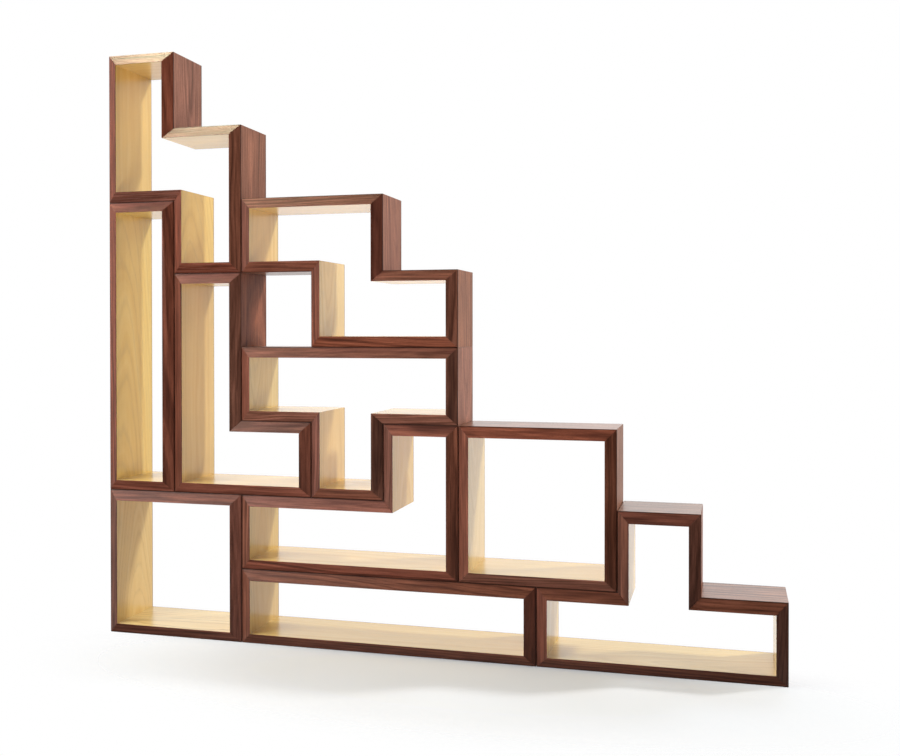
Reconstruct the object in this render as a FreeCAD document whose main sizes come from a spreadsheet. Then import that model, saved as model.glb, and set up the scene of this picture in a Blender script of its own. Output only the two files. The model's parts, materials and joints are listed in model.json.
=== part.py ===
import FreeCAD, Part
import os

# Modular shelving unit: ten loose box frames of four cells each, stacked on a square grid.
# Every frame is a ring of boards, mitred at all its corners and open at the front and the back.
# A board is a walnut outer ply on a maple lining, with a walnut lipping on each bevelled edge,
# and the walnut plies are held together by a loose spline inside each mitre.
# The origin is on the floor, below the middle of the unit. The front faces -Y.

doc = FreeCAD.newDocument("shelving_unit")

# Driving sizes in millimetres.
dimensions = (
    ("cell", 268),              # pitch of the grid that the frames stand on
    ("board", 38),              # thickness of a finished board
    ("ply", 19),                # walnut outer ply, the lining is the rest of the board
    ("depth", 280),             # from the rear arris to the front arris
    ("setback", 22),            # fall of the bevel from the inner arris to the outer face
    ("lipping", 3.5),           # lipping, measured from front to back
    ("fit_gap", 2),             # room between frames that stand side by side
    ("crown", 13),              # rise of the topmost line above the pitch of the grid
    ("spline_width", 14),       # spline, across the mitre
    ("spline_thickness", 4),    # spline, along the mitre
    ("spline_seat", 12),        # middle of the spline below the outer face, at an outer corner
    ("spline_stop", 12),        # end of the spline short of the lipping
    ("groove_play", 0.1),       # room round the spline in its groove
)

# Cells that each frame covers, as (column, row) from the bottom left of the unit.
frames = {
    "left_square": ((0, 0), (1, 0), (0, 1), (1, 1)),
    "long_bar": ((2, 0), (3, 0), (4, 0), (5, 0)),
    "floor_tee": ((6, 0), (7, 0), (8, 0), (7, 1)),
    "flat_ell": ((2, 1), (3, 1), (4, 1), (4, 2)),
    "right_square": ((5, 1), (6, 1), (5, 2), (6, 2)),
    "tall_bar": ((0, 2), (0, 3), (0, 4), (0, 5)),
    "tall_ell": ((1, 2), (1, 3), (1, 4), (2, 2)),
    "hanging_tee": ((2, 3), (3, 3), (4, 3), (3, 2)),
    "flat_zigzag": ((2, 5), (3, 5), (3, 4), (4, 4)),
    "tall_zigzag": ((0, 6), (0, 7), (1, 5), (1, 6)),
}
columns = 1 + max(column for cells in frames.values() for column, row in cells)
rows = 1 + max(row for cells in frames.values() for column, row in cells)

# Ways along an outline, as (across, up): along the bottom, up the right side, along the top, down the left.
ways = ((1, 0), (0, 1), (-1, 0), (0, -1))
quarter_turn = 90
half_quarter = quarter_turn / 2

sheet = doc.addObject("Spreadsheet::Sheet", "sizes")
for line, (alias, value) in enumerate(dimensions, start=1):
    sheet.set(f"A{line}", alias)
    sheet.set(f"B{line}", str(value))
    sheet.setAlias(f"B{line}", alias)
doc.recompute()


def level(row):
    """Height of a grid line. The topmost line lies a little above the pitch of the grid."""
    rise = " + sizes.crown" if row == rows else ""
    return f"({row} * sizes.cell{rise})"


class Board:
    """One straight run of a frame's outline, between two corners."""

    def __init__(self, corner, way):
        self.corner = corner
        self.way = way
        self.cells = 1

    def set_turns(self, before, after):
        # An outer corner turns left (+1) and its mitre shortens the inside of the board.
        # A re-entrant corner turns right (-1) and its mitre lengthens the inside.
        self.start = 1 if (self.way - before.way) % len(ways) == 1 else -1
        self.end = 1 if (after.way - self.way) % len(ways) == 1 else -1

    @property
    def upright(self):
        return self.way % 2 == 1

    @property
    def length(self):
        if self.upright:
            row = self.corner[1]
            far_row = row + ways[self.way][1] * self.cells
            return f"{level(max(row, far_row))} - {level(min(row, far_row))}"
        # Only the level boards give up room for the gap beside the frame.
        return f"{self.cells} * sizes.cell - {self.start + self.end} * sizes.fit_gap / 2"

    def point(self, along="0", inward="0"):
        # Place in the unit's frame, from the outer end of the start mitre.
        if self.upright:
            inward = f"({inward} + sizes.fit_gap / 2)"
        else:
            along = f"({along} + {self.start} * sizes.fit_gap / 2)"
        across, up = ways[self.way]
        inward_across, inward_up = -up, across
        column, row = self.corner
        x = f"{column - columns / 2} * sizes.cell + {across} * {along} + {inward_across} * {inward}"
        z = f"{level(row)} + {up} * {along} + {inward_up} * {inward}"
        return x, z


def outline(cells):
    """Boards round the cells, anticlockwise as seen from the front."""
    edges = {}
    for column, row in cells:
        corners = ((column, row), (column + 1, row), (column + 1, row + 1), (column, row + 1))
        for way, (across, up) in enumerate(ways):
            if (column + up, row - across) not in cells:
                edges[corners[way]] = way
    corner = min(edges, key=lambda place: (place[1], place[0]))
    boards = []
    while corner in edges:
        way = edges.pop(corner)
        if boards and boards[-1].way == way:
            boards[-1].cells += 1
        else:
            boards.append(Board(corner, way))
        corner = (corner[0] + ways[way][0], corner[1] + ways[way][1])
    for index, board in enumerate(boards):
        board.set_turns(boards[index - 1], boards[(index + 1) % len(boards)])
    return boards


def wedge(name, limits, place, turn):
    """Block with a rectangular face at each end of its thickness, X along the board and Z to the front."""
    solid = doc.addObject("Part::Wedge", name)
    for key, expression in limits.items():
        solid.setExpression(key, expression)
    upright = FreeCAD.Rotation(FreeCAD.Vector(1, 0, 0), quarter_turn)
    solid.Placement.Rotation = FreeCAD.Rotation(FreeCAD.Vector(0, -1, 0), turn) * upright
    for axis, expression in zip("xyz", place):
        solid.setExpression(f"Placement.Base.{axis}", expression)
    return solid


def layer(name, board, outer, inner, rear, front):
    """Mitred layer of a board from one depth below its outer face to another, with bevelled edges."""
    limits = {"Ymin": outer, "Ymax": inner}
    for face, depth in (("", outer), ("2", inner)):
        limits[f"X{face}min"] = f"{board.start} * {depth}"
        limits[f"X{face}max"] = f"{board.length} - {board.end} * {depth}"
        limits[f"Z{face}min"] = rear(depth)
        limits[f"Z{face}max"] = front(depth)
    x, z = board.point()
    return wedge(name, limits, (x, "sizes.depth / 2", z), quarter_turn * board.way)


# Front and rear of the board and of the wood behind its lippings, at a depth below the outer face.
def rear_bevel(depth):
    return f"sizes.setback * (1 - {depth} / sizes.board)"


def front_bevel(depth):
    return f"sizes.depth - {rear_bevel(depth)}"


def rear_edge(depth):
    return f"{rear_bevel(depth)} + sizes.lipping"


def front_edge(depth):
    return f"{front_bevel(depth)} - sizes.lipping"


def corner_block(name, board, play):
    """Spline across the mitre at the start of a board, or the groove for it with room to spare."""
    half_length = f"(sizes.depth / 2 - sizes.setback - sizes.lipping - sizes.spline_stop + {play})"
    halves = {
        "X": f"(sizes.spline_width / 2 + {play})",
        "Y": f"(sizes.spline_thickness / 2 + {play})",
        "Z": half_length,
    }
    limits = {}
    for axis, half in halves.items():
        for face in ("",) if axis == "Y" else ("", "2"):
            limits[f"{axis}{face}min"] = f"-{half}"
            limits[f"{axis}{face}max"] = half
    # The spline runs into the thick of both plies, so it sits deeper at an outer corner.
    seat = "sizes.spline_seat" if board.start > 0 else "(sizes.ply - sizes.spline_seat)"
    x, z = board.point(f"{board.start} * {seat}", seat)
    return wedge(name, limits, (x, "0", z), quarter_turn * board.way - half_quarter * board.start)


def compound(name, pieces):
    group = doc.addObject("Part::Compound", name)
    group.Links = pieces
    return group


def cut(name, base, tools):
    result = doc.addObject("Part::Cut", name)
    result.Base = base
    result.Tool = compound(f"{name}_tools", tools)
    return result


def build_frame(frame, cells):
    """All the pieces of one frame, grouped into its sub-parts."""
    boards = outline(cells)
    groups = {
        "uprights": [],
        "shelves": [],
        "lining": [],
        "upright_lippings": [],
        "shelf_lippings": [],
        "corner_splines": [],
    }
    grooves = []
    for number, board in enumerate(boards):
        grooves.append(corner_block(f"{frame}_groove_{number}", board, "sizes.groove_play"))
        groups["corner_splines"].append(corner_block(f"{frame}_spline_{number}", board, "0"))
    for number, board in enumerate(boards):
        blank = layer(f"{frame}_blank_{number}", board, "0", "sizes.ply", rear_edge, front_edge)
        tools = [grooves[number], grooves[(number + 1) % len(boards)]]
        plies = groups["uprights" if board.upright else "shelves"]
        plies.append(cut(f"{frame}_ply_{number}", blank, tools))
        lining = layer(f"{frame}_lining_{number}", board, "sizes.ply", "sizes.board", rear_edge, front_edge)
        groups["lining"].append(lining)
        lippings = groups["upright_lippings" if board.upright else "shelf_lippings"]
        front = layer(f"{frame}_front_{number}", board, "0", "sizes.board", front_edge, front_bevel)
        rear = layer(f"{frame}_rear_{number}", board, "0", "sizes.board", rear_bevel, rear_edge)
        lippings += [front, rear]
    return [compound(f"{frame}_{part}", pieces) for part, pieces in groups.items()]


sub_parts = []
for frame, cells in frames.items():
    sub_parts += build_frame(frame, cells)
doc.recompute()

for item in doc.Objects:
    if "Invalid" in item.State or "Error" in item.State:
        raise RuntimeError(f"{item.Label} did not build")
for part in sub_parts:
    if part.Shape.isNull() or not part.Shape.isValid():
        raise RuntimeError(f"{part.Label} has no valid shape")

os.makedirs("parts", exist_ok=True)
for part in sub_parts:
    part.Shape.exportStep(f"parts/{part.Label}.step")
print(len(sub_parts), "sub-parts,", sum(len(part.Shape.Solids) for part in sub_parts), "solids")
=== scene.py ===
import bpy
import json
import math
from mathutils import Matrix, Vector


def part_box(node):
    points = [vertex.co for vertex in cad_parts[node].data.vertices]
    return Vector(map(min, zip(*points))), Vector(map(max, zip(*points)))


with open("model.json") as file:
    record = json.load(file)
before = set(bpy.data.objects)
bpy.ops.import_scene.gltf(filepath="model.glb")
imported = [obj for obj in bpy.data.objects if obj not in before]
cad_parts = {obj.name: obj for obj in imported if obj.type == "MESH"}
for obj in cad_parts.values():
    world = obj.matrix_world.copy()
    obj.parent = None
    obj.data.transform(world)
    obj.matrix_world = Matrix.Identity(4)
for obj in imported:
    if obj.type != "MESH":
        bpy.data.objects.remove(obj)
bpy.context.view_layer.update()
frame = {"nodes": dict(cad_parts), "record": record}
record = frame["record"]
scene = bpy.context.scene
scene.view_settings.view_transform = "Standard"

# the grid pitch comes from the frame itself
longBarLow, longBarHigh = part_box("long_bar_shelves")
cellPitch = longBarHigh.z - longBarLow.z
slotOf = {part["node"]: part["material_slot"] for part in record["subparts"]}
print("frame loaded with", len(frame["nodes"]), "nodes, grid pitch", round(cellPitch, 4))

white = (1.0, 1.0, 1.0)
black = (0.0, 0.0, 0.0)


# small helpers for node trees
def addNode(tree, kind, values=None, **settings):
    made = tree.nodes.new(kind)
    for name, value in settings.items():
        setattr(made, name, value)
    for name, value in (values or {}).items():
        if isinstance(value, bpy.types.NodeSocket):
            tree.links.new(value, made.inputs[name])
        else:
            made.inputs[name].default_value = value
    return made


def calc(tree, operation, *terms):
    return addNode(tree, "ShaderNodeMath", dict(enumerate(terms)), operation=operation).outputs[0]


def combine(tree, x, y, z):
    return addNode(tree, "ShaderNodeCombineXYZ", {0: x, 1: y, 2: z}).outputs[0]


def separate(tree, vector):
    return addNode(tree, "ShaderNodeSeparateXYZ", {0: vector}).outputs


# random value from 0 to 1, turned into one spread evenly about a middle
def vary(tree, random, middle, spread):
    return calc(tree, "MULTIPLY_ADD", random, spread, middle - spread / 2)


# The Mix node has the same socket names for numbers and for colours, so its sockets go by place.
def choose(tree, share, low, high):
    return addNode(tree, "ShaderNodeMix", {0: share, 2: low, 3: high}).outputs[0]


def blend(tree, share, low, high):
    return addNode(tree, "ShaderNodeMix", {0: share, 6: low, 7: high}, data_type="RGBA").outputs[2]


# 1 for rays from the camera and for what polished faces mirror
def seenOrMirrored(tree, path):
    mirrored = calc(tree, "MAXIMUM", path["Is Glossy Ray"], path["Is Transmission Ray"])
    return calc(tree, "MAXIMUM", path["Is Camera Ray"], mirrored)


def ramp(tree, value, stops):
    made = addNode(tree, "ShaderNodeValToRGB", {0: value})
    points = made.color_ramp.elements
    while len(points) < len(stops):
        points.new(1.0)
    for point, (place, colour) in zip(points, stops):
        point.position = place
        point.color = (*colour, 1.0)
    return made.outputs[0]


def noise(tree, vector, detail, roughness=0.5):
    values = {"Vector": vector, "Scale": 1.0, "Detail": detail, "Roughness": roughness}
    return addNode(tree, "ShaderNodeTexNoise", values, noise_dimensions="3D").outputs


# Board coordinates: along the grain, across the thickness from the grid line, and depth.
# Each board also gets three random values of its own from its grid line and its node.
nodeSeed = 97.0    # spreads the nodes' random numbers apart
halfPitch = 0.5    # the odd count of columns puts their lines on half pitches


def boardCoordinates(tree, lie):
    x, y, z = separate(tree, addNode(tree, "ShaderNodeTexCoord").outputs["Object"])
    if lie == "byFace":
        normal = separate(tree, addNode(tree, "ShaderNodeNewGeometry").outputs["True Normal"])
        sideways = calc(tree, "ABSOLUTE", normal[0])
        upwards = calc(tree, "ABSOLUTE", normal[2])
        upright = calc(tree, "GREATER_THAN", sideways, upwards)
        along = choose(tree, upright, x, z)
        thick = choose(tree, upright, z, x)
        lineShift = calc(tree, "MULTIPLY", upright, halfPitch)
    else:
        upright = lie == "upright"
        along, thick = (z, x) if upright else (x, z)
        lineShift = halfPitch if upright else 0.0
    pitches = calc(tree, "ADD", calc(tree, "DIVIDE", thick, cellPitch), lineShift)
    line = calc(tree, "ROUND", pitches)
    across = calc(tree, "MULTIPLY", calc(tree, "SUBTRACT", pitches, line), cellPitch)
    own = addNode(tree, "ShaderNodeObjectInfo").outputs["Random"]
    seed = combine(tree, line, calc(tree, "MULTIPLY", own, nodeSeed), upright if lie == "byFace" else 0.0)
    randoms = separate(tree, addNode(tree, "ShaderNodeTexWhiteNoise", {"Vector": seed}).outputs["Color"])
    return along, across, y, randoms


# Figure of a board sawn from a log: irregular growth rings round a pith line that leans along the board.
# The spans say how far apart in the log two boards can lie. The rest is detail that all the woods share.
figure = {
    "alongSpan": 9.0,
    "depthSpan": 5.0,
    "ringSpan": 80.0,
    "waveDetail": 2.0,
    "ringDetail": 3.0,
    "fibreDetail": 3.0,
    "fibreRoughness": 0.6,
    "mottleDetail": 2.0,
    "mottleMiddle": 0.5,
    "poreDetail": 1.0,
    "poreFrom": 0.3,
    "poreTo": 0.4,
    "lineFrom": 0.02,
    "halfRing": 0.5,
}


def woodFigure(tree, wood, coordinates):
    along, across, depth, randoms = coordinates
    shiftedAlong = calc(tree, "MULTIPLY_ADD", randoms[0], figure["alongSpan"], along)
    shiftedDepth = calc(tree, "MULTIPLY_ADD", randoms[1], figure["depthSpan"], depth)

    def grainPlace(kind):                                    # noise place, drawn out along the grain
        return combine(tree, calc(tree, "MULTIPLY", across, wood[kind + "Across"]),
                       calc(tree, "MULTIPLY", shiftedDepth, wood[kind + "Across"]),
                       calc(tree, "MULTIPLY", shiftedAlong, wood[kind + "Along"]))

    warp = separate(tree, noise(tree, grainPlace("wave"), figure["waveDetail"])["Color"])
    lean = calc(tree, "MULTIPLY", along, vary(tree, randoms[2], 0.0, wood["lean"]))
    pithAcross = calc(tree, "MULTIPLY_ADD", randoms[0], wood["pithSpread"], wood["pithNear"])
    pithDepth = vary(tree, randoms[1], 0.0, wood["pithSpread"])
    ringAcross = calc(tree, "ADD", calc(tree, "ADD", across, pithAcross), lean)
    ringAcross = calc(tree, "MULTIPLY_ADD", warp[0], wood["waveSize"], ringAcross)
    ringDepth = calc(tree, "MULTIPLY_ADD", warp[1], wood["waveSize"], calc(tree, "ADD", depth, pithDepth))
    radius = calc(tree, "SQRT", calc(tree, "ADD", calc(tree, "POWER", ringAcross, 2.0),
                                     calc(tree, "POWER", ringDepth, 2.0)))
    ringPlace = calc(tree, "DIVIDE", radius, wood["ringPitch"])
    ringCount = calc(tree, "MULTIPLY_ADD", randoms[2], figure["ringSpan"], ringPlace)
    ringNoise = {"W": ringCount, "Scale": 1.0, "Detail": figure["ringDetail"],
                 "Roughness": wood["ringRoughness"]}
    rings = addNode(tree, "ShaderNodeTexNoise", ringNoise, noise_dimensions="1D").outputs[0]
    fibres = noise(tree, grainPlace("fibre"), figure["fibreDetail"], figure["fibreRoughness"])[0]
    mottle = noise(tree, grainPlace("mottle"), figure["mottleDetail"])[0]
    poreNoise = noise(tree, grainPlace("pore"), figure["poreDetail"])[0]
    pores = ramp(tree, poreNoise, ((figure["poreFrom"], white), (figure["poreTo"], black)))
    jagged = calc(tree, "MULTIPLY_ADD", fibres, wood["lineJag"], ringCount)
    fromLine = calc(tree, "PINGPONG", jagged, figure["halfRing"])
    lines = ramp(tree, fromLine, ((figure["lineFrom"], white), (wood["lineWidth"], black)))
    lines = calc(tree, "MULTIPLY", lines, calc(tree, "MULTIPLY", randoms[1], wood["lineShare"]))
    grain = choose(tree, wood["fibreShare"], rings, fibres)
    patches = calc(tree, "SUBTRACT", mottle, figure["mottleMiddle"])
    grain = calc(tree, "ADD", grain, calc(tree, "MULTIPLY", patches, wood["mottleShare"]))
    return grain, fibres, pores, lines


# Painted shade: every lipping is darkened towards its outer arris, to stand for the shadow in the seam where
# two frames meet.
seam = {"from": 0.001, "to": 0.0042, "share": 0.85, "colour": (0.03, 0.011, 0.007)}


def paintedSeamShade(tree, across, colour):
    fade = {"Value": calc(tree, "ABSOLUTE", across), "From Min": seam["from"], "From Max": seam["to"],
            "To Min": seam["share"], "To Max": 0.0}
    share = addNode(tree, "ShaderNodeMapRange", fade).outputs[0]
    return blend(tree, share, colour, (*seam["colour"], 1.0))


def woodMaterial(name, wood, lie, lipping=False):
    made = bpy.data.materials.new(name)
    made.use_nodes = True
    tree = made.node_tree
    surface = tree.nodes["Principled BSDF"]
    coordinates = boardCoordinates(tree, lie)
    randoms = coordinates[3]
    grain, fibres, pores, lines = woodFigure(tree, wood, coordinates)
    toned = addNode(tree, "ShaderNodeHueSaturation", {
        "Hue": vary(tree, randoms[1], wood["hue"], wood["hueSpread"]),
        "Saturation": vary(tree, randoms[2], wood["rich"], wood["richSpread"]),
        "Value": vary(tree, randoms[0], wood["tone"], wood["toneSpread"]),
        "Color": ramp(tree, grain, wood["colours"]),
    }).outputs[0]
    darkShare = calc(tree, "MAXIMUM", calc(tree, "MULTIPLY", pores, wood["poreShare"]), lines)
    finished = blend(tree, darkShare, toned, (*wood["poreColour"], 1.0))
    # the lippings get the painted shade along the seams between frames
    if lipping:
        finished = paintedSeamShade(tree, coordinates[1], finished)
    tree.links.new(finished, surface.inputs["Base Color"])
    rough = vary(tree, fibres, wood["rough"], wood["roughSpread"])
    tree.links.new(rough, surface.inputs["Roughness"])
    height = calc(tree, "SUBTRACT", fibres, pores)
    bump = addNode(tree, "ShaderNodeBump", {"Strength": wood["bump"], "Distance": wood["bumpHeight"],
                                            "Height": height})
    tree.links.new(bump.outputs[0], surface.inputs["Normal"])
    surface.inputs["Specular IOR Level"].default_value = wood["specular"]
    return made


# oiled walnut, on the outer plies and the lippings
walnut = {
    "colours": ((0.26, (0.07, 0.023, 0.0145)), (0.42, (0.16, 0.0522, 0.0315)),
                (0.56, (0.252, 0.0856, 0.0525)), (0.72, (0.39, 0.137, 0.085))),
    "poreColour": (0.055, 0.015, 0.008),
    "poreShare": 0.5,
    "fibreShare": 0.45,
    "ringPitch": 0.011,
    "ringRoughness": 0.55,
    "lineJag": 0.5,
    "lineWidth": 0.12,
    "lineShare": 0.5,
    "lean": 0.16,
    "pithNear": 0.05,
    "pithSpread": 0.16,
    "waveAcross": 5.0,
    "waveAlong": 2.2,
    "waveSize": 0.035,
    "fibreAcross": 420.0,
    "fibreAlong": 9.0,
    "mottleAcross": 75.0,
    "mottleAlong": 6.0,
    "mottleShare": 0.5,
    "poreAcross": 1500.0,
    "poreAlong": 90.0,
    "hue": 0.5,
    "hueSpread": 0.008,
    "richSpread": 0.16,
    "toneSpread": 0.36,
    "rough": 0.38,
    "roughSpread": 0.12,
    "bump": 0.25,
    "bumpHeight": 0.0004,
    "specular": 0.3,
    "tone": 0.95,
    "rich": 0.96,
}
# the faces of the uprights are drier and calmer, the level faces more polished; both are toned lighter than
# the lippings, as painted light for the light that falls on the sides and tops
drierWalnutPaintedLight = dict(walnut, specular=0.1, rough=0.5, tone=1.63, toneSpread=0.3, rich=0.92, hue=0.508,
                   mottleShare=0.22, lineShare=0.3, fibreShare=0.6)
polishedWalnutPaintedLight = dict(walnut, specular=0.32, rough=0.3, tone=1.5, rich=0.92, hue=0.515)
# the level lippings are toned lighter than the upright ones: painted light on the top and bottom bevels
levelLippingPaintedLight = dict(walnut, specular=0.22, tone=1.18)
glossyLipping = dict(walnut, specular=0.6, rough=0.27, tone=1.05)
# clear-lacquered maple, on the linings
maple = {
    "colours": ((0.28, (0.765, 0.522, 0.174)), (0.43, (0.815, 0.586, 0.211)), (0.56, (0.85, 0.63, 0.244)),
                (0.75, (0.88, 0.685, 0.3))),
    "poreColour": (0.43, 0.29, 0.115),
    "poreShare": 0.12,
    "fibreShare": 0.4,
    "ringPitch": 0.011,
    "ringRoughness": 0.5,
    "lineJag": 0.7,
    "lineWidth": 0.14,
    "lineShare": 0.2,
    "lean": 0.2,
    "pithNear": 0.06,
    "pithSpread": 0.14,
    "waveAcross": 4.0,
    "waveAlong": 1.6,
    "waveSize": 0.04,
    "fibreAcross": 380.0,
    "fibreAlong": 7.0,
    "mottleAcross": 40.0,
    "mottleAlong": 5.0,
    "mottleShare": 0.25,
    "poreAcross": 1600.0,
    "poreAlong": 120.0,
    "hue": 0.5,
    "hueSpread": 0.012,
    "richSpread": 0.16,
    "toneSpread": 0.1,
    "rough": 0.24,
    "roughSpread": 0.06,
    "bump": 0.12,
    "bumpHeight": 0.0003,
    "specular": 0.55,
    "tone": 0.98,
    "rich": 1.0,
}
figuredMaple = dict(maple, lineShare=0.75, lineWidth=0.1, tone=1.06, rich=0.9)
# bare birch, on the splines inside the mitres
birch = dict(maple, toneSpread=0.06, specular=0.3, rough=0.7)

finishes = {
    "uprights": woodMaterial("walnutUpright", drierWalnutPaintedLight, "upright"),
    "shelves": woodMaterial("walnutLevel", polishedWalnutPaintedLight, "level"),
    "upright_lippings": woodMaterial("walnutLippingUpright", walnut, "upright", lipping=True),
    "shelf_lippings": woodMaterial("walnutLippingLevel", levelLippingPaintedLight, "level", lipping=True),
    "lining": woodMaterial("mapleLining", maple, "byFace"),
    "corner_splines": woodMaterial("birchSpline", birch, "byFace"),
}
# the topmost frame is the glossiest, and the left square has the boldest maple
ownFinishes = {
    "tall_zigzag_shelf_lippings": woodMaterial("walnutLippingTop", glossyLipping, "level", lipping=True),
    "left_square_lining": woodMaterial("mapleLiningFigured", figuredMaple, "byFace"),
}
print("wood finishes made:", len(finishes) + len(ownFinishes))

# Eased arrises on the walnut, so that edges catch the light and the mitres show as fine lines.
arris = {"ease": 0.0012, "steps": 2, "weld": 0.00001, "leastAngle": 25.0}


def easeArrises(piece):
    weld = piece.modifiers.new("joinFaces", "WELD")
    weld.merge_threshold = arris["weld"]
    ease = piece.modifiers.new("easedArris", "BEVEL")
    ease.width = arris["ease"]
    ease.segments = arris["steps"]
    ease.limit_method = "ANGLE"
    ease.angle_limit = math.radians(arris["leastAngle"])
    ease.harden_normals = True


def dressNode(name, piece):
    role = max((part for part in finishes if name.endswith("_" + part)), key=len)
    piece.data.materials.clear()
    piece.data.materials.append(ownFinishes.get(name, finishes[role]))
    if slotOf[name].startswith("walnut"):
        easeArrises(piece)


for name, piece in frame["nodes"].items():
    dressNode(name, piece)
print("nodes dressed:", len(frame["nodes"]))

# Pale floor that fades into the white round it. The camera sees it lifted, so that it is white in the light.
floor = {"reach": 9.0, "rimPoints": 96, "middle": (0.2, -0.36, 0.0), "spread": (0.62, 1.7, 1.0),
         "fadeFrom": 0.35, "fadeTo": 1.05, "colour": (0.74, 0.79, 0.87), "lift": 0.2, "bounce": 0.7}


def makeFloor():
    mesh = bpy.data.meshes.new("studioFloor")
    corners = []
    for index in range(floor["rimPoints"]):
        turn = 2 * math.pi * index / floor["rimPoints"]
        corners.append((floor["reach"] * math.cos(turn), floor["reach"] * math.sin(turn), 0.0))
    mesh.from_pydata(corners, [], [range(len(corners))])
    made = bpy.data.objects.new("studioFloor", mesh)
    scene.collection.objects.link(made)
    paint = bpy.data.materials.new("studioFloorPaint")
    paint.use_nodes = True
    tree = paint.node_tree
    tree.nodes.remove(tree.nodes["Principled BSDF"])
    path = addNode(tree, "ShaderNodeLightPath").outputs
    seen = seenOrMirrored(tree, path)
    dimmed = [channel * floor["bounce"] for channel in floor["colour"]]
    paintColour = blend(tree, path["Is Camera Ray"], (*dimmed, 1.0), (*floor["colour"], 1.0))
    matt = addNode(tree, "ShaderNodeBsdfDiffuse", {"Color": paintColour})
    glow = addNode(tree, "ShaderNodeEmission", {"Strength": calc(tree, "MULTIPLY", seen, floor["lift"])})
    lit = addNode(tree, "ShaderNodeAddShader", {0: matt.outputs[0], 1: glow.outputs[0]})
    place = addNode(tree, "ShaderNodeTexCoord").outputs["Object"]
    fromMiddle = addNode(tree, "ShaderNodeVectorMath", {0: place, 1: floor["middle"]}, operation="SUBTRACT")
    scaled = addNode(tree, "ShaderNodeVectorMath", {0: fromMiddle.outputs[0], 1: floor["spread"]},
                     operation="MULTIPLY")
    away = addNode(tree, "ShaderNodeVectorMath", {0: scaled.outputs[0]}, operation="LENGTH").outputs["Value"]
    fade = addNode(tree, "ShaderNodeMapRange", {"Value": away, "From Min": floor["fadeFrom"],
                                                "From Max": floor["fadeTo"]}, interpolation_type="SMOOTHSTEP")
    clear = addNode(tree, "ShaderNodeBsdfTransparent")
    mixed = addNode(tree, "ShaderNodeMixShader", {0: fade.outputs[0], 1: lit.outputs[0], 2: clear.outputs[0]})
    tree.links.new(mixed.outputs[0], tree.nodes["Material Output"].inputs["Surface"])
    made.data.materials.append(paint)


makeFloor()

# World: white to the camera. Its light comes in broad lobes, each with a direction and a strength.
# They tint what they light, and are white where they are mirrored.
room = {
    "white": 1.0,
    "tint": (1.0, 0.93, 0.82),
    "lobes": {
        "back": {"side": (-0.1, 1.0, 0.12), "focus": 2.0, "strength": 1.5},
        "left": {"side": (-1.0, -0.1, 0.1), "focus": 4.0, "strength": 0.5},
        "right": {"side": (1.0, 0.25, 0.1), "focus": 4.0, "strength": 0.1},
    },
}


def makeRoom():
    world = bpy.data.worlds.new("studio")
    scene.world = world
    world.use_nodes = True
    tree = world.node_tree
    background = tree.nodes["Background"]
    outlook = addNode(tree, "ShaderNodeTexCoord").outputs["Generated"]
    light = 0.0
    for lobe in room["lobes"].values():
        side = Vector(lobe["side"]).normalized()
        facing = addNode(tree, "ShaderNodeVectorMath", {0: outlook, 1: side}, operation="DOT_PRODUCT")
        spread = calc(tree, "POWER", calc(tree, "MAXIMUM", facing.outputs["Value"], 0.0), lobe["focus"])
        light = calc(tree, "MULTIPLY_ADD", spread, lobe["strength"], light)
    path = addNode(tree, "ShaderNodeLightPath").outputs
    tint = blend(tree, seenOrMirrored(tree, path), (*room["tint"], 1.0), (*white, 1.0))
    tree.links.new(tint, background.inputs["Color"])
    tree.links.new(choose(tree, path["Is Camera Ray"], light, room["white"]), background.inputs["Strength"])


makeRoom()
print("floor and room made")

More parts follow.
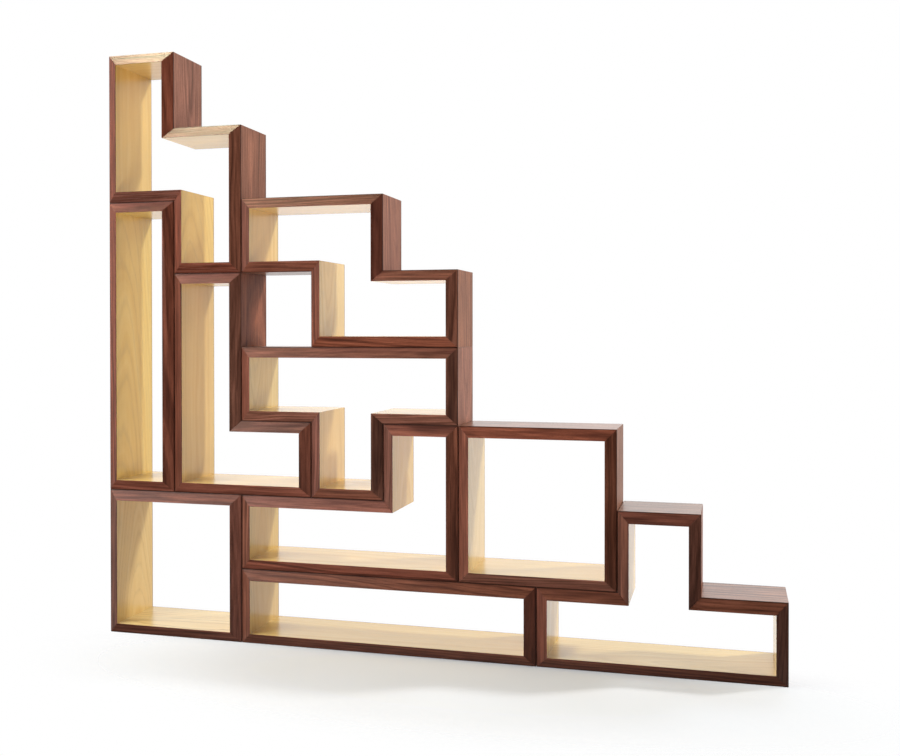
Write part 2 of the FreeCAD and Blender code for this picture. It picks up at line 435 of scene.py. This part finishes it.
# Soft lamps: the key from behind on the right for the slanting shadows, a cool fill behind, one over the
# topmost frame, and fills at the front left, from the floor and from the right. Only two show in the polish.
lamps = {
    "key": {"place": (6.6, 3.33, 6.34), "aim": (-0.6, 0.0, 1.3), "size": 1.0, "power": 410.0,
            "colour": (1.0, 0.96, 0.89), "mirrored": False},
    "rearFill": {"place": (1.6, 4.0, 4.5), "aim": (0.0, 0.0, 0.9), "size": 2.4, "power": 58.0,
                 "colour": (0.74, 0.85, 1.0), "mirrored": False},
    "overhead": {"place": (-1.78, -0.52, 4.0), "aim": (-0.95, 0.0, 2.0), "size": 0.9, "power": 31.0,
                 "colour": (1.0, 0.94, 0.62), "mirrored": True},
    "nearLeft": {"place": (-2.9, -2.05, 3.0), "aim": (-0.6, 0.0, 1.2), "size": 2.4, "power": 100.0,
                 "colour": (1.0, 0.97, 0.95), "mirrored": True},
    "lowLeft": {"place": (-1.5, -2.1, 0.35), "aim": (-0.2, 0.0, 0.9), "size": 1.2, "power": 12.0,
                "colour": (1.0, 0.95, 0.88), "mirrored": False},
    "floorBounce": {"place": (0.5, -2.0, 0.02), "aim": (0.5, -2.0, 1.0), "size": 1.6, "power": 40.0,
                    "colour": (1.0, 0.95, 0.88), "mirrored": False},
    "sideRight": {"place": (3.8, 0.6, 1.3), "aim": (0.0, 0.0, 0.8), "size": 2.2, "power": 20.0,
                  "colour": (1.0, 0.93, 0.8), "mirrored": False},
}


def makeLamp(name, lamp):
    data = bpy.data.lights.new(name, "AREA")
    data.shape = "DISK"
    data.size = lamp["size"]
    data.energy = lamp["power"]
    data.color = lamp["colour"]
    made = bpy.data.objects.new(name, data)
    scene.collection.objects.link(made)
    made.location = lamp["place"]
    away = Vector(lamp["place"]) - Vector(lamp["aim"])
    made.rotation_euler = away.to_track_quat("Z", "Y").to_euler()
    made.visible_camera = False
    made.visible_glossy = lamp["mirrored"]


for name, lamp in lamps.items():
    makeLamp(name, lamp)
print("studio lit with", len(lamps), "lamps")

# Camera at the photograph's viewpoint, in metres and degrees.
view = {"place": (1.0264, -3.95, 1.1335), "turn": 16.518, "tilt": -0.516, "roll": -0.063,
        "focal": 45.94, "film": 36.0, "shift": (0.0669, -0.0422), "level": 90.0, "farthest": 100.0}


def makeCamera():
    data = bpy.data.cameras.new("photoView")
    data.sensor_fit = "HORIZONTAL"
    data.sensor_width = view["film"]
    data.lens = view["focal"]
    data.shift_x, data.shift_y = view["shift"]
    data.clip_end = view["farthest"]
    made = bpy.data.objects.new("photoView", data)
    scene.collection.objects.link(made)
    turn = Matrix.Rotation(math.radians(view["turn"]), 4, "Z")
    tilt = Matrix.Rotation(math.radians(view["level"] + view["tilt"]), 4, "X")
    roll = Matrix.Rotation(math.radians(view["roll"]), 4, "Z")
    made.matrix_world = Matrix.Translation(view["place"]) @ turn @ tilt @ roll
    scene.camera = made


makeCamera()
print("camera set")
